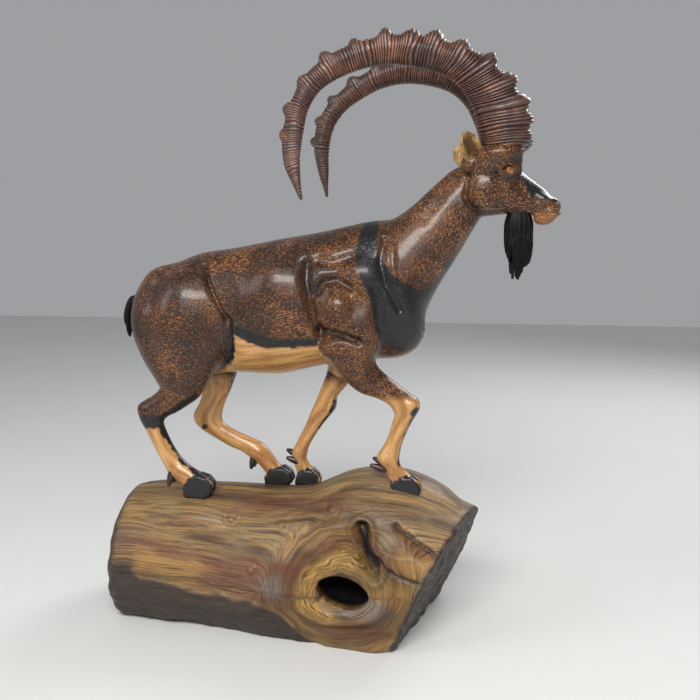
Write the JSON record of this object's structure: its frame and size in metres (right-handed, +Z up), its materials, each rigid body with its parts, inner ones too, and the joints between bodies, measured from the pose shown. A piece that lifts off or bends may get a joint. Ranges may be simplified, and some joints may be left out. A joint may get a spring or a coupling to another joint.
{
  "type": "carved ibex statue",
  "caption": "Carved wooden ibex with long curved ridged horns and a beard, striding on a log base; stands on the log's flat underside.",
  "frame": {"origin": "centre of the bounding box at the log's flat underside", "axes": "+Z up, +X towards the animal's head, +Y towards the animal's left side, away from the viewer of its right side"},
  "size_m": [0.511, 0.196, 0.659],
  "materials": {
    "log_wood": "varnished natural log",
    "hide_wood": "burnt hair strokes under gloss varnish",
    "horn_wood": "dark stain, satin",
    "black_wood": "burnt black, satin",
    "eye_bead": "gloss",
    "dowel_wood": "plain turned wood",
    "pin_steel": "bare wire"
  },
  "bodies": {
    "root": {"log_base": "log_wood", "trunk": "hide_wood", "neck_and_head": "hide_wood", "right_ear": "hide_wood", "left_ear": "hide_wood", "right_hind_leg": "hide_wood", "left_hind_leg": "hide_wood", "right_front_leg": "hide_wood", "left_front_leg": "hide_wood", "right_horn": "horn_wood", "left_horn": "horn_wood", "beard": "black_wood", "tail": "black_wood", "right_hind_dewclaws": "black_wood", "left_hind_dewclaws": "black_wood", "right_front_dewclaws": "black_wood", "left_front_dewclaws": "black_wood", "right_eye": "eye_bead", "left_eye": "eye_bead", "neck_dowels": "dowel_wood", "horn_dowels": "dowel_wood", "leg_dowels": "dowel_wood", "ear_pins": "dowel_wood", "beard_pin": "dowel_wood", "tail_pin": "dowel_wood", "hoof_pins": "pin_steel"}
  },
  "joints": []
}
